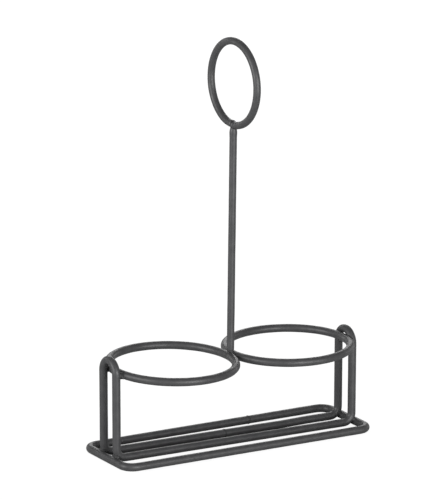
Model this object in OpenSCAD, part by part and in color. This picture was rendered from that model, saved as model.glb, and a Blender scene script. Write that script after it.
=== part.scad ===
/* [Wire] */
// Diameter of the wire that the base, the uprights and the bottle rings are bent from
base_wire_d = 5; // [4:0.1:6]
// Diameter of the lighter wire of the stem and the carrying ring
stem_wire_d = 4.5; // [3.6:0.1:5]
// How deep two crossing wires are pressed into each other when they are welded
weld_bite = 0.4; // [0.2:0.1:0.6]

/* [Bottle rings] */
// Inside diameter of each bottle ring
ring_bore_d = 73; // [64:1:80]
// Height of the bottle rings' centre line above the table
ring_z = 56; // [50:1:62]

/* [Uprights] */
// Spacing of the two bottom rails, and of the two legs of each upright, centre to centre
rail_pitch = 15.8; // [14:0.2:20]
// Overall height of the uprights, over the top of their U bends
upright_h = 65; // [64:0.5:68]
// Centre line radius of the bends at the feet of the uprights
foot_bend_r = 6; // [5:0.5:8]

/* [Base hoop] */
// Overall width of the base hoop, front to back
hoop_w = 57; // [50:1:66]
// Centre line radius of the base hoop's corners
hoop_corner_r = 7.5; // [6:0.5:10]

/* [Stem and carrying ring] */
// Overall height, table to the top of the carrying ring
total_h = 254; // [230:1:280]
// Outside diameter of the carrying ring
carry_ring_d = 56; // [50:1:64]
// Angle left open between the carrying ring's two butted ends, where weld metal flows in
carry_ring_gap = 1.2; // [0.8:0.1:2]
// Rounding of the stem's lower end
stem_foot_round = 1.5; // [1:0.1:1.7]
// Chamfer round the stem's upper end
stem_head_chamfer = 0.8; // [0.4:0.1:1.2]

/* [Welds] */
// Diameter of the beads where two base wires cross
cross_bead_d = 6.8; // [6.4:0.1:7.4]
// Diameter of the bead round the stem's foot
stem_bead_d = 6.2; // [5.8:0.1:6.8]
// Diameter of the bead between the stem and the carrying ring
carry_bead_d = 5.8; // [5.4:0.1:6.4]
// How far outward along a bottle ring its beads sit from the leg they hold
ring_bead_shift = 1.2; // [0:0.1:2]
// Height of the raised flash round a butt weld
butt_flash = 0.3; // [0.2:0.05:0.5]
// Width of the raised flash round a butt weld
butt_flash_w = 1.4; // [1:0.1:2.5]
// Distance of the base hoop's butt weld from the middle of its back side
hoop_butt_x = 29; // [10:1:60]

/* [Hidden] */
$fn = 96;

SIDES = [["left", -1], ["right", 1]];
DEPTHS = [["front", -1], ["back", 1]];

// Rounds a derived length to a hundredth of a millimetre
function hundredth(v) = round(v * 100) / 100;

wire_r = base_wire_d / 2;
stem_r = stem_wire_d / 2;
cross_gap = base_wire_d - weld_bite;

// The rings touch at x = 0, each flattened there by half the bite
ring_r = ring_bore_d / 2 + wire_r;
ring_x = ring_r + wire_r - weld_bite / 2;

// The legs stand where they touch the outside of the rings
leg_y = rail_pitch / 2;
leg_x = hundredth(ring_x + sqrt(pow(ring_r + cross_gap, 2) - pow(leg_y, 2)));
leg_angle = asin(leg_y / (ring_r + cross_gap));
leg_foot_z = wire_r + foot_bend_r;
leg_top_z = upright_h - wire_r - leg_y;
bend_x = leg_x - foot_bend_r;

// The hoop's short sides touch the outside of the foot bends
hoop_reach = foot_bend_r + cross_gap;
hoop_drop = asin(foot_bend_r / hoop_reach);
hoop_x = hundredth(bend_x + hoop_reach * cos(hoop_drop));
hoop_y = hoop_w / 2 - wire_r;
hoop_run_l = 2 * (hoop_x - hoop_corner_r);
hoop_side_l = 2 * (hoop_y - hoop_corner_r);

// The stem's rounded foot sits in the valley between the two rings
carry_r = carry_ring_d / 2 - stem_r;
carry_z = total_h - carry_ring_d / 2;
foot_reach = wire_r + stem_foot_round - weld_bite;
foot_run = wire_r - weld_bite / 2 - (stem_r - stem_foot_round);
stem_foot_z = ring_z - stem_foot_round + sqrt(pow(foot_reach, 2) - pow(foot_run, 2));
stem_head_z = carry_z - carry_r - stem_r + weld_bite;
stem_bead_z = ring_z + wire_r;
butt_cut_z = 1;

coat = [0.27, 0.27, 0.28];
bead_coat = [0.22, 0.22, 0.23];

// Straight wire of diameter d and length h, along +Z from the origin
module straight(d, h) {
    cylinder(d = d, h = h);
}

// Bent wire of diameter d: an arc of centre line radius r about Z, from +X round by a degrees
module bend(d, r, a) {
    rotate_extrude(angle = a) translate([r, 0]) circle(d = d);
}

// Closed round ring of wire, flat about Z
module wire_ring(d, r) {
    rotate_extrude() translate([r, 0]) circle(d = d);
}

// A quarter bend at the foot of a leg, on the +X side: from the rail's end up into the leg
module foot_bend() {
    translate([bend_x, 0, leg_foot_z]) rotate([90, 0, 0]) rotate([0, 0, -90])
        bend(base_wire_d, foot_bend_r, 90);
}

// Two legs joined by a U bend, standing across the rack on the +X side
module hairpin() {
    for (y = [-leg_y, leg_y])
        translate([leg_x, y, leg_foot_z]) straight(base_wire_d, leg_top_z - leg_foot_z);
    translate([leg_x, 0, leg_top_z]) rotate([90, 0, 90]) bend(base_wire_d, leg_y, 180);
}

// The short straight side of the hoop on the +X side
module hoop_side() {
    translate([hoop_x, -hoop_side_l / 2, wire_r]) rotate([-90, 0, 0])
        straight(base_wire_d, hoop_side_l);
}

module both_sides() {
    children();
    mirror([1, 0, 0]) children();
}

// The closed hoop: four corners, each followed by the straight that runs on to the next
module plain_hoop() {
    for (i = [0 : 3])
        translate([(i == 0 || i == 3 ? 1 : -1) * hoop_run_l / 2,
                   (i < 2 ? 1 : -1) * hoop_side_l / 2, wire_r]) rotate([0, 0, 90 * i]) {
            bend(base_wire_d, hoop_corner_r, 90);
            translate([0, hoop_corner_r, 0]) rotate([0, -90, 0])
                straight(base_wire_d, i % 2 == 0 ? hoop_run_l : hoop_side_l);
        }
}

module base_hoop() {
    color(coat) difference() {
        plain_hoop();
        both_sides() for (y = [-leg_y, leg_y]) translate([0, y, 0]) foot_bend();
    }
}

module upright_loop() {
    color(coat) {
        both_sides() {
            hairpin();
            for (y = [-leg_y, leg_y]) translate([0, y, 0]) foot_bend();
        }
        for (y = [-leg_y, leg_y])
            translate([-bend_x, y, wire_r]) rotate([0, 90, 0]) straight(base_wire_d, 2 * bend_x);
    }
}

// A bottle ring on the +X side, before the leg bites into it
module plain_bottle_ring() {
    difference() {
        translate([ring_x, 0, ring_z]) wire_ring(base_wire_d, ring_r);
        translate([-base_wire_d, -ring_r, ring_z - base_wire_d])
            cube([base_wire_d, 2 * ring_r, 2 * base_wire_d]);
    }
}

module bottle_ring(side) {
    color(coat) mirror([side < 0 ? 1 : 0, 0, 0]) difference() {
        plain_bottle_ring();
        hairpin();
    }
}

// The carrying ring stays open by a narrow gap at its lowest point, over the stem
module plain_carrying_ring() {
    translate([0, 0, carry_z]) rotate([90, 0, 90]) rotate([0, 0, -90 + carry_ring_gap / 2])
        bend(stem_wire_d, carry_r, 360 - carry_ring_gap);
}

module carrying_ring() {
    color(coat) plain_carrying_ring();
}

// Half section of the stem: a rod with a rounded foot and a chamfered head
module stem_section() {
    core = stem_r - stem_foot_round;
    head = stem_head_z - stem_foot_z;
    square([core, stem_foot_round]);
    translate([core, stem_foot_round]) intersection() {
        circle(r = stem_foot_round);
        translate([0, -stem_foot_round]) square(stem_foot_round);
    }
    translate([0, stem_foot_round]) square([stem_r, head - stem_foot_round - stem_head_chamfer]);
    translate([0, head - stem_head_chamfer])
        polygon([[0, 0], [stem_r, 0], [stem_r - stem_head_chamfer, stem_head_chamfer],
                 [0, stem_head_chamfer]]);
}

module stem_blank() {
    translate([0, 0, stem_foot_z]) rotate_extrude() stem_section();
}

module handle_stem() {
    color(coat) difference() {
        stem_blank();
        both_sides() plain_bottle_ring();
        plain_carrying_ring();
    }
}

module stem_foot_weld() {
    color(bead_coat) difference() {
        translate([0, 0, stem_bead_z]) sphere(d = stem_bead_d);
        both_sides() plain_bottle_ring();
        stem_blank();
    }
}

// The bead fills most of the gap between the ring's ends and laps over the stem's head
module carrying_ring_weld() {
    color(bead_coat) difference() {
        translate([0, 0, stem_head_z]) sphere(d = carry_bead_d);
        plain_carrying_ring();
        stem_blank();
    }
}

// A bead where a foot bend crosses the hoop; side and depth are -1 or 1
module foot_weld(side, depth) {
    bead_reach = foot_bend_r + wire_r - weld_bite / 2;
    color(bead_coat) mirror_to(side, depth) difference() {
        translate([bend_x + bead_reach * cos(hoop_drop), leg_y,
                   leg_foot_z - bead_reach * sin(hoop_drop)]) sphere(d = cross_bead_d);
        hoop_side();
        translate([0, leg_y, 0]) foot_bend();
    }
}

// A bead where a leg crosses a bottle ring; side and depth are -1 or 1
module ring_weld(side, depth) {
    bead_reach = ring_r + wire_r - weld_bite / 2;
    bead_angle = leg_angle + ring_bead_shift / ring_r * 180 / PI;
    color(bead_coat) mirror_to(side, depth) difference() {
        translate([ring_x + bead_reach * cos(bead_angle), bead_reach * sin(bead_angle), ring_z])
            rotate([0, 90, 0]) sphere(d = cross_bead_d);
        plain_bottle_ring();
        hairpin();
    }
}

// Mirrors a feature of the +X, +Y quarter to the side and depth asked for
module mirror_to(side, depth) {
    mirror([side < 0 ? 1 : 0, 0, 0]) mirror([0, depth < 0 ? 1 : 0, 0]) children();
}

// The raised flash round a butt weld in a wire along X; it is ground off near the table
module butt_weld(x, y) {
    color(bead_coat) translate([x - butt_flash_w / 2, y, wire_r]) difference() {
        rotate([0, 90, 0]) cylinder(d = base_wire_d + 2 * butt_flash, h = butt_flash_w);
        translate([-1, 0, 0]) rotate([0, 90, 0]) cylinder(d = base_wire_d, h = butt_flash_w + 2);
        translate([-1, -base_wire_d, butt_cut_z - wire_r - base_wire_d])
            cube([butt_flash_w + 2, 2 * base_wire_d, base_wire_d]);
    }
}

module hoop_butt_weld() {
    butt_weld(hoop_butt_x, hoop_y);
}

module rail_butt_weld() {
    butt_weld(0, leg_y);
}

base_hoop();
upright_loop();
bottle_ring(-1);  // left_bottle_ring
bottle_ring(1);  // right_bottle_ring
handle_stem();
carrying_ring();
stem_foot_weld();
carrying_ring_weld();
hoop_butt_weld();
rail_butt_weld();
for (s = SIDES, d = DEPTHS) {
    foot_weld(s[1], d[1]);
    ring_weld(s[1], d[1]);
}
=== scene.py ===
# %% [markdown]
# # A wire cruet rack for two bottles
# The real rack is nothing but round steel wire. Six lengths were bent, their ends were welded, and
# the whole thing was dipped in a charge of dark grey powder and baked. In this lesson every wire is
# drawn the way it was bent: one round section is carried along straights and round bends. The weld
# beads are then grown out of the wires that they join, and one satin coat covers everything.
#
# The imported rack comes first. It is a fixed frame: its boxes say where each wire lies, so nothing
# here is placed by eye.

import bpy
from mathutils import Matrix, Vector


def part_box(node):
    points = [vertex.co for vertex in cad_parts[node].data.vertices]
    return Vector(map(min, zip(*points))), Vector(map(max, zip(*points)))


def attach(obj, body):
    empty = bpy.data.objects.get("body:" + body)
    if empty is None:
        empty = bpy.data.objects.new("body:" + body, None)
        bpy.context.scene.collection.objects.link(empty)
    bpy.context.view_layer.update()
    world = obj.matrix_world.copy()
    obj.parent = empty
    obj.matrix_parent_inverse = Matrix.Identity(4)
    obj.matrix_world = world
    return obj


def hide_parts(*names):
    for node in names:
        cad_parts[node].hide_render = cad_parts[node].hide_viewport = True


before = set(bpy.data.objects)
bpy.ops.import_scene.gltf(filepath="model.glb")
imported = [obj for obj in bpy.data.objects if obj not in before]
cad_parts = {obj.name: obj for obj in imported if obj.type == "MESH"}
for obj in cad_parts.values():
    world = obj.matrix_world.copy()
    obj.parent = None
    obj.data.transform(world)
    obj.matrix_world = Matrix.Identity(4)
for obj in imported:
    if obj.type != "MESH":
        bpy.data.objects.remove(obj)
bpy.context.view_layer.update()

# %% Other tools of the lesson
import math
import random

import bpy
from mathutils import Matrix, Vector

MM = 0.001
scene = bpy.context.scene
X, Y, Z = Vector((1, 0, 0)), Vector((0, 1, 0)), Vector((0, 0, 1))

# %% [markdown]
# ## Measures read off the frame
# Only a few sizes of the rack are driving ones: the two wire gauges, the reach of the hoop, the
# place of the legs and the two kinds of ring. All of them can be read off the boxes of the packed
# pieces, because a box round a bent wire ends one wire radius outside its centre line. The bend
# radii don't show in a box, so they are stated here, along the centre line.
#
# The frame's gauges are those of the bare steel. Powder adds about a tenth of a millimetre all
# round, and the outermost wires are drawn in by as much, so the coated rack still fits its box.

# %% Read the measures
hoop_low, hoop_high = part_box("base_hoop")
loop_low, loop_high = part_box("upright_loop")
ring_low, ring_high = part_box("right_bottle_ring")
stem_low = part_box("handle_stem")[0]
carry_low, carry_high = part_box("carrying_ring")

COAT = 0.1 * MM
bare_r = (hoop_high.z - hoop_low.z) / 2
wire_r = bare_r + COAT
hoop_x = hoop_high.x - wire_r
hoop_y = hoop_high.y - wire_r
hoop_corner_r = 7.5 * MM

leg_x = loop_high.x - bare_r
leg_y = loop_high.y - bare_r
leg_top_z = loop_high.z - wire_r - leg_y
foot_bend_r = 6 * MM
bend_x = leg_x - foot_bend_r
bend_z = wire_r + foot_bend_r

ring_r = (ring_high.y - ring_low.y) / 2 - wire_r
ring_x = ring_high.x - wire_r - ring_r
ring_z = (ring_high.z + ring_low.z) / 2

stem_r = (carry_high.x - carry_low.x) / 2 + COAT
carry_r = (carry_high.z - carry_low.z) / 2 - stem_r
carry_z = (carry_high.z + carry_low.z) / 2
print("wire", 2 * wire_r / MM, "stem wire", 2 * stem_r / MM, "ring radius", ring_r / MM)

# %% [markdown]
# ## Drawing with wire
# A bending machine grows a wire from one end to the other, and so does this one. A circle is the
# wire's round section. Extruding it makes a straight, and spinning it about a centre makes a bend,
# just as the wire wraps round a pin of the bending tool. A curve with a round bevel would be
# quicker, but it can't be dented, notched or flattened afterwards, and a swept mesh can.
#
# The section has forty sides, so its outline stays round in a close view. Steps along the wire
# are short enough for the coat's hills, and no step turns by more than a few degrees.

# %% How finely a wire is drawn
SECTION_SIDES = 40
SWEEP_STEP = 1.5 * MM
WIDEST_STEP = math.radians(6)
SAME_PLACE = 0.01 * MM
print("side of the section:", round(2 * math.pi * wire_r / SECTION_SIDES / MM, 2), "mm")


# %% Helpers that select
def nothing_selected():
    """Back to object mode with nothing selected, so that an operator meets only what comes next."""
    if bpy.context.mode != "OBJECT":
        bpy.ops.object.mode_set(mode="OBJECT")
    bpy.ops.object.select_all(action="DESELECT")


def only(piece):
    """Selects one piece and makes it the active one."""
    nothing_selected()
    piece.select_set(True)
    bpy.context.view_layer.objects.active = piece


# %% [markdown]
# The bender remembers where the wire's end is and which way it points. The Spin tool counts its
# angle against the right-hand rule, which is why the sign is turned round.

# %% The bender
class Bender:
    """Draws one wire: a round section that is carried forward and bent, step by step."""

    def __init__(self, name, radius, place, heading):
        nothing_selected()
        turn = heading.to_track_quat("Z", "Y").to_euler()
        bpy.ops.mesh.primitive_circle_add(
            vertices=SECTION_SIDES, radius=radius, location=place, rotation=turn)
        self.wire = bpy.context.object
        self.wire.name = self.wire.data.name = name
        bpy.ops.object.transform_apply(location=True, rotation=True, scale=True)
        bpy.ops.object.mode_set(mode="EDIT")
        bpy.ops.mesh.select_all(action="SELECT")
        self.place, self.heading, self.length = Vector(place), heading.normalized(), 0

    def forward(self, length, step=SWEEP_STEP):
        """Pushes the wire's end straight ahead."""
        steps = max(1, round(length / step))
        for _ in range(steps):
            bpy.ops.mesh.extrude_region_move(
                TRANSFORM_OT_translate={"value": self.heading * (length / steps)})
        self.place = self.place + self.heading * length
        self.length += length

    def bend(self, radius, degrees, axis):
        """Turns the heading about an axis by the right-hand rule, round a pin of that radius."""
        angle = math.radians(degrees)
        centre = self.place + radius * axis.cross(self.heading)
        steps = math.ceil(max(angle / WIDEST_STEP, angle * radius / SWEEP_STEP))
        bpy.ops.mesh.spin(steps=steps, angle=-angle, center=centre, axis=axis)
        turn = Matrix.Rotation(angle, 3, axis)
        self.place = centre + turn @ (self.place - centre)
        self.heading = turn @ self.heading
        self.length += angle * radius


# %% [markdown]
# A wire ends in one of two ways. An endless one comes back to its own first section, and the two
# sections are merged. An open one gets a flat disc on each cut end.

# %% Helpers that finish a wire
def finish_wire(bender):
    """Turns the skin outwards, shades it smooth and says what was drawn."""
    wire = bender.wire
    bpy.ops.mesh.select_all(action="SELECT")
    bpy.ops.mesh.normals_make_consistent(inside=False)
    only(wire)
    bpy.ops.object.shade_smooth()
    print(f"{wire.name}: {bender.length / MM:.1f} mm of wire, {len(wire.data.polygons)} faces")
    return wire


def close_wire(bender):
    """Joins the last section to the first, which lies in the same place: an endless wire."""
    bpy.ops.mesh.select_all(action="SELECT")
    bpy.ops.mesh.remove_doubles(threshold=SAME_PLACE)
    return finish_wire(bender)


def cap_wire(bender):
    """Closes both cut ends with a flat disc."""
    bpy.ops.mesh.select_all(action="DESELECT")
    bpy.ops.mesh.select_mode(type="EDGE")
    bpy.ops.mesh.select_non_manifold()
    bpy.ops.mesh.fill_holes(sides=SECTION_SIDES)
    bpy.ops.mesh.select_mode(type="VERT")
    return finish_wire(bender)


# %% [markdown]
# ## The base hoop
# The hoop lies flat on the table and gives the rack its footprint. It is one wire with four equal
# corners, and its ends meet in a butt weld on the back side, a little off the middle. The drawing
# starts and ends at that weld, so the seam of the mesh is where the seam of the real wire is.

# %% Draw the base hoop
butt_low, butt_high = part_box("hoop_butt_weld")
hoop_butt_x = (butt_low.x + butt_high.x) / 2
hoop_run = 2 * (hoop_x - hoop_corner_r)
hoop_side = 2 * (hoop_y - hoop_corner_r)

bender = Bender("base_hoop_wire", wire_r, (hoop_butt_x, hoop_y, wire_r), -X)
bender.forward(hoop_butt_x + hoop_run / 2)
for straight in (hoop_side, hoop_run, hoop_side):
    bender.bend(hoop_corner_r, 90, Z)
    bender.forward(straight)
bender.bend(hoop_corner_r, 90, Z)
bender.forward(hoop_run / 2 - hoop_butt_x)
base_hoop = close_wire(bender)

# %% [markdown]
# Welding pulls wires about, and a hand-made rack never cools quite square. The hoop's left front
# corner sprang up by about half a millimetre. A lattice is a cage of eight points round a piece.
# Moving the points of one corner takes the wire there along, and the shift fades evenly towards
# the other corners, just as a stiff wire gives.

# %% Spring one corner of the hoop
def spring(piece, low, high, shift_of):
    """Bends a piece in a cage from low to high. shift_of turns a corner's signs into its shift."""
    nothing_selected()
    bpy.ops.object.add(type="LATTICE", location=(low + high) / 2)
    cage = bpy.context.object
    cage.scale = high - low
    for way in "uvw":
        setattr(cage.data, f"points_{way}", 2)
        setattr(cage.data, f"interpolation_type_{way}", "KEY_LINEAR")
    for point in cage.data.points:
        shift = Vector(shift_of(*(1 if c > 0 else -1 for c in point.co)))
        point.co_deform += Vector(s / size for s, size in zip(shift, cage.scale))
    hold = piece.modifiers.new("Cage", "LATTICE")
    hold.object = cage
    only(piece)
    bpy.ops.object.modifier_apply(modifier=hold.name)
    bpy.data.objects.remove(cage)


CORNER_LIFT = 0.65 * MM


def hoop_shift(x, y, z):
    return (0, 0, CORNER_LIFT if x < 0 and y < 0 else 0)


spring(base_hoop, hoop_low, hoop_high, hoop_shift)
print("left front corner of the hoop up by", CORNER_LIFT / MM, "mm")

# %% [markdown]
# ## The upright loop
# The two bottom rails and both hairpin uprights are a single endless wire. Starting from the butt
# weld in the middle of the back rail it runs left, turns up, goes over the top in a U bend across
# the rack, comes down again, and does the same on the right. One half is a turn of the other, so
# both halves are the same moves.

# %% Draw the upright loop
bender = Bender("upright_loop_wire", wire_r, (0, leg_y, wire_r), -X)
for side in (1, -1):
    bender.forward(bend_x)
    bender.bend(foot_bend_r, 90, side * Y)
    bender.forward(leg_top_z - bend_z)
    bender.bend(leg_y, 180, side * X)
    bender.forward(leg_top_z - bend_z)
    bender.bend(foot_bend_r, 90, -side * Y)
    bender.forward(bend_x)
upright_loop = close_wire(bender)

# %% [markdown]
# The loop wasn't welded in quite level either. Its left end sits a millimetre and a half above
# the table, its right hairpin is a little shorter than its left one, and both hairpins lean to the
# left by a hair. The same cage of eight points puts all of that in at once. The table below gives
# the shift of each of its corners, left or right and bottom or top.

# %% Settle the upright loop
LEFT_LIFT = 1.5 * MM
loop_shifts = {
    (-1, -1): (0.1 * MM, 0, LEFT_LIFT), (-1, 1): (-0.7 * MM, 0, 1.6 * MM),
    (1, -1): (0.35 * MM, 0, 0), (1, 1): (-0.35 * MM, 0, -1.3 * MM),
}


def loop_shift(x, y, z):
    return loop_shifts[x, z]


spring(upright_loop, loop_low, loop_high, loop_shift)
print("left end of the loop up by", LEFT_LIFT / MM, "mm")

# %% [markdown]
# The back rail isn't quite straight. It lies lower than the front one from its left foot until
# well past the middle, and then climbs back. Proportional editing presses that stretch down and
# takes the neighbouring wire along less and less, as a real bend does.

# %% A helper that picks corners
def pick(piece, test):
    """Enters edit mode with only those corners selected whose place passes the test."""
    only(piece)
    bpy.ops.object.mode_set(mode="EDIT")
    bpy.ops.mesh.select_mode(type="VERT")
    bpy.ops.mesh.select_all(action="DESELECT")
    bpy.ops.object.mode_set(mode="OBJECT")
    for corner in piece.data.vertices:
        corner.select = test(corner.co)
    bpy.ops.object.mode_set(mode="EDIT")


# %% Press the back rail down
SAG = 0.4 * MM
SAG_END = 42 * MM
SAG_EASE = 22 * MM
rail_top_z = 2 * wire_r + LEFT_LIFT

pick(upright_loop, lambda place: place.y > 0 and place.z < rail_top_z and place.x < SAG_END)
bpy.ops.transform.translate(
    value=(0, 0, -SAG), use_proportional_edit=True, use_proportional_connected=True,
    proportional_edit_falloff="SMOOTH", proportional_size=SAG_EASE)
nothing_selected()
lowest = min(corner.co.z for corner in upright_loop.data.vertices)
print("lowest point of the loop:", round(lowest / MM, 3), "mm")

# %% [markdown]
# ## The two bottle rings
# Each ring is a full turn of the same wire. Where the rings meet, the welder pressed one into the
# other, so each has a small flat there. Bisect cuts the ring at the middle plane of the rack and
# fills the cut, which leaves just that flat. The heat of that weld also pulled the middle of the
# rack down by a fraction of a millimetre, so neither ring lies quite level. The lean of a ring is
# given as its rise per metre along X and along Y, and the axis that it is spun about follows it.

# %% Draw the bottle rings
def draw_bottle_ring(name, side, drop, rise_x, rise_y):
    """A full turn of wire that starts at the middle of the rack; side is -1 or 1 along X."""
    start = Vector((side * (ring_x - ring_r), 0, ring_z - drop))
    ring = Bender(name, wire_r, start, Vector((0, 1, rise_y)))
    ring.bend(ring_r, 360, -side * Vector((-rise_x, -rise_y, 1)).normalized())
    piece = close_wire(ring)
    bpy.ops.object.mode_set(mode="EDIT")
    bpy.ops.mesh.select_all(action="SELECT")
    bpy.ops.mesh.bisect(
        plane_co=(0, 0, 0), plane_no=(side, 0, 0), use_fill=True, clear_inner=True,
        threshold=SAME_PLACE)
    nothing_selected()
    return piece


left_ring = draw_bottle_ring(
    "left_bottle_ring_wire", -1, drop=0.25 * MM, rise_x=-0.0065, rise_y=0.0150)
right_ring = draw_bottle_ring(
    "right_bottle_ring_wire", 1, drop=0.40 * MM, rise_x=0.0150, rise_y=-0.0070)

# %% [markdown]
# ## The stem
# The stem is a lighter rod. Its foot was ground round so that it sits in the valley between the
# rings. Its head was hot when the carrying ring was pressed on to it, and that left a narrow neck
# with a slight swelling just below. Both are made by scaling single sections of the rod.

# %% A helper that scales a section
def scale_section(piece, z, factor):
    """Scales the one section of an upright rod that lies at height z, about the rod's axis."""
    pick(piece, lambda place: abs(place.z - z) < SAME_PLACE)
    bpy.ops.transform.resize(value=(factor, factor, 1), center_override=(0, 0, z))
    nothing_selected()


# %% Say how thick the hot end of the stem is
NECK, NECK_LENGTH = 0.15, 1.3 * MM
SWELLING, SWELLING_LENGTH, SWELLING_DEPTH = 0.055, 1.8 * MM, 3.4 * MM


def head_thickness(depth):
    """How thick the stem is at this depth below its top, against the plain rod."""
    neck = NECK * math.exp(-(depth / NECK_LENGTH) ** 2)
    swelling = SWELLING * math.exp(-((depth - SWELLING_DEPTH) / SWELLING_LENGTH) ** 2)
    return 1 - neck + swelling


print("neck", round(head_thickness(0), 3), "swelling", round(head_thickness(SWELLING_DEPTH), 3))

# %% Draw the stem
HEAD_STEP = 0.5 * MM
HEAD_STEPS = 16
FOOT_ROUND = 1.4 * MM
FOOT_SEGMENTS = 6
FOOT_GAP = 0.3 * MM
stem_foot_z, stem_head_z = stem_low.z + FOOT_GAP, carry_low.z + stem_r / 4
head_length = HEAD_STEP * HEAD_STEPS
bender = Bender("handle_stem_rod", stem_r, (0, 0, stem_foot_z), Z)
bender.forward(stem_head_z - stem_foot_z - head_length)
bender.forward(head_length, HEAD_STEP)
stem = cap_wire(bender)
for step in range(HEAD_STEPS):
    depth = step * HEAD_STEP
    scale_section(stem, stem_head_z - depth, head_thickness(depth))
pick(stem, lambda place: abs(place.z - stem_foot_z) < SAME_PLACE)
bpy.ops.mesh.bevel(offset=FOOT_ROUND, segments=FOOT_SEGMENTS, affect="EDGES")
nothing_selected()

# %% [markdown]
# ## The carrying ring
# The ring on top stands across the rack, so that a finger goes through from the side. It was
# welded on with a slight twist, which shows when the rack is seen end on. Its two
# ends meet over the stem, and they don't meet perfectly: one end was bent a little too tight and
# stands proud on the inside, and the other is a little slack. Three arcs that flow into each other
# give both ends their true place, and each cut end is closed with a flat disc.

# %% Draw the carrying ring
END_ARC = 25
SLACK_R = carry_r + 1.6 * MM
TIGHT_R = carry_r - 4 * MM
END_GAP = 0.25 * MM
TWIST = math.radians(1.6)

theta = math.radians(END_ARC)
slack_centre_y = (SLACK_R - carry_r) * math.sin(theta)
slack_start = math.asin((slack_centre_y + END_GAP) / SLACK_R)
slack_z = carry_z + (SLACK_R - carry_r) * math.cos(theta) - SLACK_R * math.cos(slack_start)
tight_centre_y = (carry_r - TIGHT_R) * math.sin(theta)
tight_end = math.asin((tight_centre_y - END_GAP) / TIGHT_R)

across = Vector((-math.sin(TWIST), math.cos(TWIST), 0))
turning = -across.cross(Z)
bender = Bender("carrying_ring_wire", stem_r, slack_z * Z - END_GAP * across,
                math.sin(slack_start) * Z - math.cos(slack_start) * across)
bender.bend(SLACK_R, END_ARC - math.degrees(slack_start), turning)
bender.bend(carry_r, 360 - 2 * END_ARC, turning)
bender.bend(TIGHT_R, END_ARC + math.degrees(tight_end), turning)
carrying_ring = cap_wire(bender)

# %% [markdown]
# ## A coat that isn't quite even
# Powder melts and pulls itself into low hills while it bakes, so the light on a coated wire
# breaks up over every few millimetres. That is a real difference in thickness, so it belongs in
# the shape. A Displace modifier with a cloud texture moves the surface in and out along its
# normals. The whole range is set inwards, so no wire grows past its coated gauge.

# %% Pull the coat uneven
COAT_HILL = 9 * MM
COAT_DIP = 0.11 * MM

coat_clouds = bpy.data.textures.new("coat_hills", "CLOUDS")
coat_clouds.noise_scale = COAT_HILL
coat_clouds.noise_depth = 2


def apply_all(piece):
    """Applies every modifier of a piece, in order, so the mesh itself holds the shape."""
    only(piece)
    for name in [modifier.name for modifier in piece.modifiers]:
        bpy.ops.object.modifier_apply(modifier=name)


def uneven(piece, texture, depth, highest=1.0):
    """Moves the surface by up to depth. The lightest cloud, at level highest, stays in place."""
    hills = piece.modifiers.new("Uneven", "DISPLACE")
    hills.texture = texture
    hills.texture_coords = "LOCAL"
    hills.strength = depth
    hills.mid_level = highest
    apply_all(piece)


wires = [base_hoop, upright_loop, left_ring, right_ring, stem, carrying_ring]
for wire in wires:
    uneven(wire, coat_clouds, COAT_DIP)
print("uneven coat on", [wire.name for wire in wires])

# %% [markdown]
# ## How a weld is grown
# Weld metal wets both wires and freezes as one skin with hollow fillets in the corners. A ball
# pushed into the crossing would show a hard line all round. So each weld starts as short stubs of
# the very wires it joins, with a few drops of bead metal between them. A voxel remesh melts them
# into one skin, and smoothing fills the corners as surface tension does. Away from the corners the
# skin falls just inside the wires, so only the fillet shows.

# %% Helpers for drops and stubs
BALL_DETAIL = 4


def add_ball(centre, radius):
    nothing_selected()
    bpy.ops.mesh.primitive_ico_sphere_add(
        subdivisions=BALL_DETAIL, radius=radius, location=centre)
    ball = bpy.context.object
    bpy.ops.object.transform_apply(location=True, rotation=True, scale=True)
    return ball


def cut_stub(wire, centre, reach):
    """A copy of the part of a wire that lies within reach of the centre."""
    only(wire)
    bpy.ops.object.duplicate()
    stub = bpy.context.object
    limit = add_ball(centre, reach)
    cut = stub.modifiers.new("Within reach", "BOOLEAN")
    cut.operation = "INTERSECT"
    cut.solver = "EXACT"
    cut.object = limit
    apply_all(stub)
    bpy.data.objects.remove(limit)
    return stub


# %% A helper that melts parts into a weld
WELD_VOXEL = 0.2 * MM
FLOW = 0.5
TUCK = 0.03 * MM


def melt(name, parts, smoothing):
    """Joins parts into one piece, melts them into a single skin and smooths it."""
    nothing_selected()
    for part in parts:
        part.select_set(True)
    bpy.context.view_layer.objects.active = parts[0]
    bpy.ops.object.join()
    weld = bpy.context.object
    weld.name = weld.data.name = name
    weld.data.remesh_voxel_size = WELD_VOXEL
    bpy.ops.object.voxel_remesh()
    flow = weld.modifiers.new("Flow", "SMOOTH")
    flow.factor = FLOW
    flow.iterations = smoothing
    tuck = weld.modifiers.new("Tuck", "DISPLACE")
    tuck.strength = -TUCK
    tuck.mid_level = 0
    apply_all(weld)
    bpy.ops.object.shade_smooth()
    return weld


# %% [markdown]
# ## Welds between the legs and the rings
# Four crossings hold the rings between the hairpins. The bead fills the groove between the two
# wires and runs a little way out along the ring, where it froze in small ripples. A row of drops
# of unequal size makes the ripples. The drops come from a seeded random source, so the four welds
# differ from each other but every run gives the same four. The run at the left front is the
# longest, as if the welder had started there.

# %% Grow the ring welds
RING_BEAD_SHIFT = 1.2 * MM
BEAD_R = 2.1 * MM
STUB_REACH = 6 * MM
RING_SMOOTHING = 7
DROPS = 9
DROP_R_MM = (0.7, 1.1)
OUTWARD_MM = (-0.4, 1.3)
RUN_START_MM = -0.4
UPWARD_MM = (-0.9, 1.4)
dice = random.Random(8)

leg_bearing = Vector((leg_x - ring_x, leg_y))
contact_r = (ring_r + leg_bearing.length) / 2
bead_angle = math.atan2(leg_bearing.y, leg_bearing.x) + RING_BEAD_SHIFT / ring_r
run_end_mm = {"left_front": 2.6, "left_back": 1.4, "right_front": 2.0, "right_back": 1.6}

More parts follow.
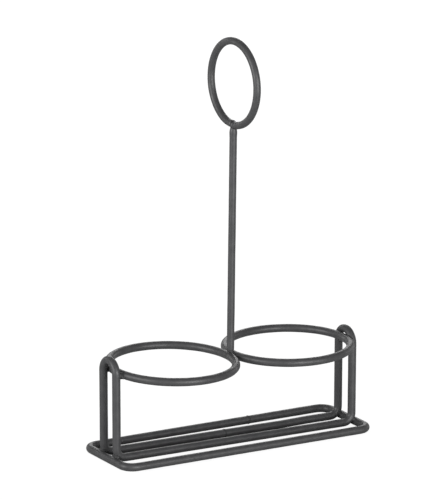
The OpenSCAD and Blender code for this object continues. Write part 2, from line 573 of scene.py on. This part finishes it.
ring_welds = []
for end, side, ring in (("left", -1, left_ring), ("right", 1, right_ring)):
    for face, front in (("front", -1), ("back", 1)):
        centre = Vector((side * (ring_x + contact_r * math.cos(bead_angle)),
                         front * contact_r * math.sin(bead_angle), ring_z))
        parts = [cut_stub(ring, centre, STUB_REACH), cut_stub(upright_loop, centre, STUB_REACH)]
        parts.append(add_ball(centre, BEAD_R))
        run_end = run_end_mm[f"{end}_{face}"]
        for _ in range(DROPS):
            place = Vector((-side * dice.uniform(*OUTWARD_MM),
                            front * dice.uniform(RUN_START_MM, run_end),
                            dice.uniform(*UPWARD_MM))) * MM
            parts.append(add_ball(centre + place, dice.uniform(*DROP_R_MM) * MM))
        weld = melt(f"ring_weld_{end}_{face}_bead", parts, RING_SMOOTHING)
        ring_welds.append(weld)
        print(weld.name, len(weld.data.polygons), "faces")

# %% [markdown]
# ## Welds at the feet
# Each leg turns into a bottom rail with a tight bend, and the hoop lies in the outer corner of
# that bend. The bead fills the crotch on both sides of the bend.

# %% Grow the foot welds
to_hoop = Vector((hoop_x - bend_x, wire_r - bend_z))
foot_contact = to_hoop.normalized() * (foot_bend_r + to_hoop.length) / 2
FOOT_SMOOTHING = 8
LIFT_SHARE = 0.6
BEAD_SPACING_MM = 1.5
SIDEWAYS_MM = (-0.3, 0.3)
LEVEL_MM = (-0.2, 0.4)
FOOT_DROP_R_MM = (1.7, 2.0)

foot_welds = []
for end, side, lift in (("left", -1, LIFT_SHARE * LEFT_LIFT), ("right", 1, 0)):
    for face, front in (("front", -1), ("back", 1)):
        centre = Vector((side * (bend_x + foot_contact.x), front * leg_y,
                         bend_z + foot_contact.y + lift))
        parts = [cut_stub(base_hoop, centre, STUB_REACH),
                 cut_stub(upright_loop, centre, STUB_REACH)]
        for along in (-1, 0, 1):
            place = Vector((side * dice.uniform(*SIDEWAYS_MM), along * BEAD_SPACING_MM,
                            dice.uniform(*LEVEL_MM))) * MM
            parts.append(add_ball(centre + place, dice.uniform(*FOOT_DROP_R_MM) * MM))
        weld = melt(f"foot_weld_{end}_{face}_bead", parts, FOOT_SMOOTHING)
        foot_welds.append(weld)
        print(weld.name, len(weld.data.polygons), "faces")

# %% [markdown]
# ## The two stem welds
# The foot of the stem is brazed into the valley between the rings, with a fillet all round. At the
# top the two ends of the carrying ring and the head of the stem melt into one small knuckle.

# %% Grow the stem welds
STEM_FOOT_SINK, STEM_FOOT_R, STEM_FOOT_SMOOTHING = 1.0 * MM, 2.2 * MM, 10
KNUCKLE_SINK, KNUCKLE_R, KNUCKLE_SMOOTHING = 0.6 * MM, 1.95 * MM, 8

foot_bead = Vector((0, 0, ring_z + wire_r))
parts = [cut_stub(piece, foot_bead, STUB_REACH) for piece in (left_ring, right_ring, stem)]
parts.append(add_ball(foot_bead - STEM_FOOT_SINK * Z, STEM_FOOT_R))
stem_foot_weld = melt("stem_foot_weld_bead", parts, STEM_FOOT_SMOOTHING)

head_bead = Vector((0, 0, carry_z - carry_r))
parts = [cut_stub(piece, head_bead, STUB_REACH) for piece in (carrying_ring, stem)]
parts.append(add_ball(head_bead - KNUCKLE_SINK * Z, KNUCKLE_R))
carrying_ring_weld = melt("carrying_ring_weld_bead", parts, KNUCKLE_SMOOTHING)
print(len(stem_foot_weld.data.polygons), len(carrying_ring_weld.data.polygons), "faces")

# %% [markdown]
# ## Butt welds that close the two loops
# The hoop and the upright loop are endless only because their ends were pushed together hot. That
# leaves a thin collar of flash, which was filed off where it would lift the rack off the table.
# The collar is drawn as a very short wire, and its sections are scaled to swell and narrow. The
# joint of the back rail came out a little to the right of the rack's middle.

# %% Draw the butt weld collars
COLLAR_W = 1.4 * MM
COLLAR_STEP = 0.2 * MM
FILED_OFF = 0.02 * MM
collar_swell = (0.94, 0.99, 1.04, 1.055, 1.02, 1.045, 1.0, 0.94)


def draw_collar(name, x, y, lift):
    """A collar of flash round a wire that lies along X, lifted off the table by that much."""
    start_x = x - COLLAR_W / 2
    middle_z = wire_r + lift
    collar = Bender(name, wire_r, (start_x, y, middle_z), X)
    collar.forward(COLLAR_W, COLLAR_STEP)
    piece = cap_wire(collar)
    for step, factor in enumerate(collar_swell):
        section_x = start_x + step * COLLAR_STEP
        pick(piece, lambda place: abs(place.x - section_x) < SAME_PLACE)
        bpy.ops.transform.resize(
            value=(1, factor, factor), center_override=(section_x, y, middle_z))
    bpy.ops.mesh.select_all(action="SELECT")
    bpy.ops.mesh.bisect(
        plane_co=(x, y, lift + FILED_OFF), plane_no=(0, 0, 1), use_fill=True,
        clear_inner=True, threshold=SAME_PLACE)
    nothing_selected()
    return piece


hoop_collar = draw_collar("hoop_butt_weld_collar", hoop_butt_x, hoop_y, 0)
RAIL_BUTT_X = 1.0 * MM
rail_lift = LEFT_LIFT / 2 - SAG
rail_collar = draw_collar("rail_butt_weld_collar", RAIL_BUTT_X, leg_y, rail_lift)

# %% [markdown]
# ## The powder coat
# The coat is a satin, neutral dark grey. Three things keep it from looking like plain paint. Fine
# orange peel breaks up the gloss. Slow mottling, where the powder lay thicker, shifts the grey a
# little. And the sheen itself wanders between dull and silky. All three are the same on wires and
# welds, at different strengths, so they are one node group that both materials use.

# %% Name the group's sockets
powder_skin = bpy.data.node_groups.new("powder_skin", "ShaderNodeTree")
for name, default in (("Peel Size", 0.6), ("Mottle Size", 6.0), ("Dull", 0.5), ("Silky", 0.4)):
    socket = powder_skin.interface.new_socket(
        name=name, in_out="INPUT", socket_type="NodeSocketFloat")
    socket.default_value = default
for name in ("Mottle", "Roughness", "Height"):
    powder_skin.interface.new_socket(
        name=name, in_out="OUTPUT", socket_type="NodeSocketFloat")
print("sockets:", [item.name for item in powder_skin.interface.items_tree])


# %% Helpers that add and link nodes
def wire_up(tree, *pairs):
    for output, target in pairs:
        tree.links.new(output, target)


def add_noise(tree, place, size_socket, detail):
    """Noise whose grains are as many millimetres across as the size socket says."""
    per_metre = tree.nodes.new("ShaderNodeMath")
    per_metre.operation = "DIVIDE"
    per_metre.inputs[0].default_value = 1 / MM
    noise = tree.nodes.new("ShaderNodeTexNoise")
    noise.inputs["Detail"].default_value = detail
    wire_up(tree, (size_socket, per_metre.inputs[1]), (place, noise.inputs["Vector"]),
            (per_metre.outputs[0], noise.inputs["Scale"]))
    return noise


# %% Build the powder skin group
PEEL_DETAIL = 2
MOTTLE_DETAIL = 3
MOTTLE_LOW, MOTTLE_HIGH = 0.3, 0.7

inside = powder_skin.nodes
entry = inside.new("NodeGroupInput")
leaving = inside.new("NodeGroupOutput")
place = inside.new("ShaderNodeTexCoord").outputs["Object"]
peel = add_noise(powder_skin, place, entry.outputs["Peel Size"], PEEL_DETAIL)
mottle = add_noise(powder_skin, place, entry.outputs["Mottle Size"], MOTTLE_DETAIL)
mottle_mask = inside.new("ShaderNodeMapRange")
mottle_mask.inputs["From Min"].default_value = MOTTLE_LOW
mottle_mask.inputs["From Max"].default_value = MOTTLE_HIGH
sheen = inside.new("ShaderNodeMapRange")
wire_up(powder_skin,
        (mottle.outputs["Fac"], mottle_mask.inputs["Value"]),
        (mottle_mask.outputs["Result"], leaving.inputs["Mottle"]),
        (mottle_mask.outputs["Result"], sheen.inputs["Value"]),
        (entry.outputs["Dull"], sheen.inputs["To Min"]),
        (entry.outputs["Silky"], sheen.inputs["To Max"]),
        (sheen.outputs["Result"], leaving.inputs["Roughness"]),
        (peel.outputs["Fac"], leaving.inputs["Height"]))

# %% [markdown]
# ## Two finishes from one group
# Wires and welds wear the same powder. On the welds it fills a rougher surface, so the peel is
# coarser and deeper and the sheen duller. The welds' grey is darker too, and that darkness is
# painted shade for the corners between wires where the welds sit.

# %% Mix the two finishes
def make_powder(name, thin, thick, settings, bump_strength, bump_depth):
    """A satin powder coat whose grey lies between the colours of thin and thick powder."""
    material = bpy.data.materials.new(name)
    material.use_nodes = True
    tree = material.node_tree
    shader = tree.nodes["Principled BSDF"]
    skin = tree.nodes.new("ShaderNodeGroup")
    skin.node_tree = powder_skin
    for setting, value in settings.items():
        skin.inputs[setting].default_value = value
    grey = tree.nodes.new("ShaderNodeMix")
    grey.data_type = "RGBA"
    grey.inputs["A"].default_value = (*thin, 1)
    grey.inputs["B"].default_value = (*thick, 1)
    bump = tree.nodes.new("ShaderNodeBump")
    bump.inputs["Strength"].default_value = bump_strength
    bump.inputs["Distance"].default_value = bump_depth
    wire_up(tree,
            (skin.outputs["Mottle"], grey.inputs["Factor"]),
            (grey.outputs["Result"], shader.inputs["Base Color"]),
            (skin.outputs["Roughness"], shader.inputs["Roughness"]),
            (skin.outputs["Height"], bump.inputs["Height"]),
            (bump.outputs["Normal"], shader.inputs["Normal"]))
    return material


coated_wire = make_powder(
    "coated_wire", thin=(0.040, 0.040, 0.042), thick=(0.058, 0.058, 0.060),
    settings={"Peel Size": 0.7, "Mottle Size": 4.0, "Dull": 0.52, "Silky": 0.42},
    bump_strength=0.35, bump_depth=0.06 * MM)
# The weld greys are painted shade: darker than the wire greys for the corners where the welds sit.
coated_weld = make_powder(
    "coated_weld", thin=(0.022, 0.022, 0.023), thick=(0.034, 0.034, 0.035),
    settings={"Peel Size": 0.9, "Mottle Size": 2.5, "Dull": 0.62, "Silky": 0.50},
    bump_strength=0.6, bump_depth=0.12 * MM)

# %% [markdown]
# ## Hand the pieces to the frame
# Every piece takes the place of its packed twin and takes that twin's name in its own. The rack
# has no moving parts, so everything rides on the one body, root.

# %% Dress and seat every piece
stands_for = {
    "base_hoop": base_hoop, "upright_loop": upright_loop,
    "left_bottle_ring": left_ring, "right_bottle_ring": right_ring,
    "handle_stem": stem, "carrying_ring": carrying_ring,
}
welds_for = {
    "stem_foot_weld": stem_foot_weld, "carrying_ring_weld": carrying_ring_weld,
    "hoop_butt_weld": hoop_collar, "rail_butt_weld": rail_collar,
}
for weld in ring_welds + foot_welds:
    welds_for[weld.name.removesuffix("_bead")] = weld

for pieces, slot, finish in ((stands_for, "coated_wire", coated_wire),
                             (welds_for, "coated_weld", coated_weld)):
    for node, piece in pieces.items():
        piece.data.materials.clear()
        piece.data.materials.append(finish)
        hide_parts(node)
        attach(piece, "root")
print(len(stands_for), "wires and", len(welds_for), "welds seated")

# %% [markdown]
# ## Floor and light
# A dark satin wire shows very little of its own colour. What reads as its shape is the reflection
# of whatever stands round it, so the lights are wide panels. One to the left and one to the right
# of the viewpoint each draw a soft band down an upright wire. Weaker ones behind keep the rack
# readable from every other side. The floor is plain matt white, and the world behind it is white
# too, so there is no horizon.

# %% Lay the floor
FLOOR_SIDE = 16
nothing_selected()
bpy.ops.mesh.primitive_plane_add(size=FLOOR_SIDE, location=(0, 0, 0))
floor = bpy.context.object
floor.name = floor.data.name = "studio_floor"
print("floor of", FLOOR_SIDE, "by", FLOOR_SIDE, "m")

# %% [markdown]
# The floor lights the rack from below as matt white board does. To the camera it glows almost as
# bright as the white behind it, and the little shading that is left shows the rack's soft shadow.

# %% Paint the floor
FLOOR_WHITE = 0.7
FLOOR_GLOW = 0.93
FLOOR_SHADE = 0.18
floor_paint = bpy.data.materials.new("matt_white_floor")
floor_paint.use_nodes = True
paint = floor_paint.node_tree
paint.nodes.remove(paint.nodes["Principled BSDF"])
bounce = paint.nodes.new("ShaderNodeBsdfDiffuse")
bounce.inputs["Color"].default_value = (FLOOR_WHITE, FLOOR_WHITE, FLOOR_WHITE, 1)
shade = paint.nodes.new("ShaderNodeBsdfDiffuse")
shade.inputs["Color"].default_value = (FLOOR_SHADE, FLOOR_SHADE, FLOOR_SHADE, 1)
glow = paint.nodes.new("ShaderNodeEmission")
glow.inputs["Strength"].default_value = FLOOR_GLOW
lit = paint.nodes.new("ShaderNodeAddShader")
floor_by_ray = paint.nodes.new("ShaderNodeMixShader")
floor_rays = paint.nodes.new("ShaderNodeLightPath")
wire_up(paint,
        (shade.outputs["BSDF"], lit.inputs[0]),
        (glow.outputs["Emission"], lit.inputs[1]),
        (floor_rays.outputs["Is Camera Ray"], floor_by_ray.inputs["Fac"]),
        (bounce.outputs["BSDF"], floor_by_ray.inputs[1]),
        (lit.outputs["Shader"], floor_by_ray.inputs[2]),
        (floor_by_ray.outputs["Shader"], paint.nodes["Material Output"].inputs["Surface"]))
floor.data.materials.append(floor_paint)

# %% Fill the world with white
WORLD_LIGHT = 0.22
WORLD_SEEN = 1.0
world = bpy.data.worlds.new("white_studio")
scene.world = world
world.use_nodes = True
sky = world.node_tree
surroundings = sky.nodes["Background"]
surroundings.inputs["Color"].default_value = (1, 1, 1, 1)
surroundings.inputs["Strength"].default_value = WORLD_LIGHT
seen = sky.nodes.new("ShaderNodeBackground")
seen.inputs["Color"].default_value = (1, 1, 1, 1)
seen.inputs["Strength"].default_value = WORLD_SEEN
by_ray = sky.nodes.new("ShaderNodeMixShader")
rays = sky.nodes.new("ShaderNodeLightPath")
wire_up(sky,
        (rays.outputs["Is Camera Ray"], by_ray.inputs["Fac"]),
        (surroundings.outputs["Background"], by_ray.inputs[1]),
        (seen.outputs["Background"], by_ray.inputs[2]),
        (by_ray.outputs["Shader"], sky.nodes["World Output"].inputs["Surface"]))

# %% Helpers that hang a light
TARGET = Vector((0, 0, 0.1))
PANEL_DISTANCE = 2.2


def toward(azimuth, elevation):
    """The direction from the rack to something at that azimuth, 0 being in front, and elevation."""
    a, e = math.radians(azimuth), math.radians(elevation)
    return Vector((math.sin(a) * math.cos(e), -math.cos(a) * math.cos(e), math.sin(e)))


def hang_panel(name, azimuth, elevation, width, height, power):
    """A panel that faces the rack, seen from it at that azimuth and elevation."""
    nothing_selected()
    way = toward(azimuth, elevation)
    bpy.ops.object.light_add(
        type="AREA", location=TARGET + way * PANEL_DISTANCE,
        rotation=way.to_track_quat("Z", "Y").to_euler())
    panel = bpy.context.object
    panel.name = panel.data.name = name
    panel.data.shape = "RECTANGLE"
    panel.data.size = width
    panel.data.size_y = height
    panel.data.energy = power


# %% Hang the light panels
panels = (
    ("left_panel", -91, 14, 1.5, 0.9, 35),
    ("right_panel", 1, 6, 1.4, 0.9, 49),
    ("back_panel", 149, 19, 1.2, 1.0, 11),
    ("far_right_panel", 104, 6, 0.9, 0.8, 4),
    ("far_left_panel", -166, 10, 0.9, 0.8, 4),
)
for name, azimuth, elevation, width, height, power in panels:
    hang_panel(name, azimuth, elevation, width, height, power)

# %% [markdown]
# ## The camera
# A long lens from over two metres away keeps the uprights parallel. The rack stands a little low
# and right of the middle, so the camera is shifted sideways and up in its own picture plane rather
# than turned, and it is rolled by a fraction of a degree, as a camera on a tripod often is.

# %% Place the camera
VIEW_AZIMUTH, VIEW_ELEVATION, VIEW_ROLL = -30.925, 14.558, 0.683
VIEW_DISTANCE = 2.2719
LENS = 264.8
SENSOR = 36
AIM_RIGHT, AIM_UP = -7.29 * MM, 118.2 * MM

back = toward(VIEW_AZIMUTH, VIEW_ELEVATION)
level_right = (-back).cross(Z).normalized()
level_up = level_right.cross(-back)
tilt = math.radians(VIEW_ROLL)
right = math.cos(tilt) * level_right + math.sin(tilt) * level_up
up = math.cos(tilt) * level_up - math.sin(tilt) * level_right
stand = AIM_RIGHT * right + AIM_UP * up + VIEW_DISTANCE * back
turn = Matrix((right, up, back)).transposed().to_euler()
nothing_selected()
bpy.ops.object.camera_add(location=stand, rotation=turn)
camera = bpy.context.object
camera.name = camera.data.name = "studio_camera"
camera.data.lens = LENS
camera.data.sensor_width = SENSOR
scene.camera = camera
scene.view_settings.view_transform = "Standard"
print("camera at", [round(c, 3) for c in stand])
